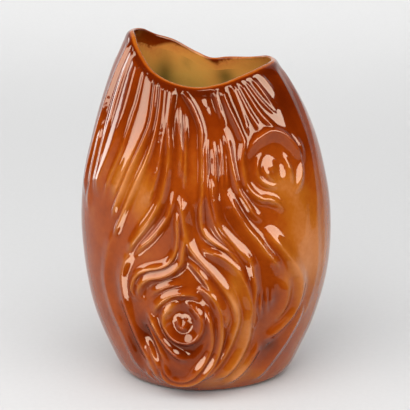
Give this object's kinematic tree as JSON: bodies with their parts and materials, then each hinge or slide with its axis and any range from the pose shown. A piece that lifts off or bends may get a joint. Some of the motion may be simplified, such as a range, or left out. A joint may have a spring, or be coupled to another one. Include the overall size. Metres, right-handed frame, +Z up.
{
  "type": "log vase",
  "caption": "Tall oval vase shaped like a weathered log, with wavy grain, knots and an uneven slanted mouth, in glazed earthenware.",
  "frame": {"origin": "middle of the outline, on the surface that the foot ring stands on", "axes": "+Z up to the mouth, +X to the right as seen from the front, the knots on the front face -Y"},
  "size_m": [0.1406, 0.1082, 0.1947],
  "materials": {
    "rust_glaze": "gloss",
    "ochre_glaze": "gloss",
    "bare_clay": "matt"
  },
  "bodies": {
    "root": {"front_wall": "rust_glaze", "back_wall": "rust_glaze", "floor_slab": "bare_clay", "foot_ring": "bare_clay", "liner_glaze": "ochre_glaze"}
  },
  "joints": []
}
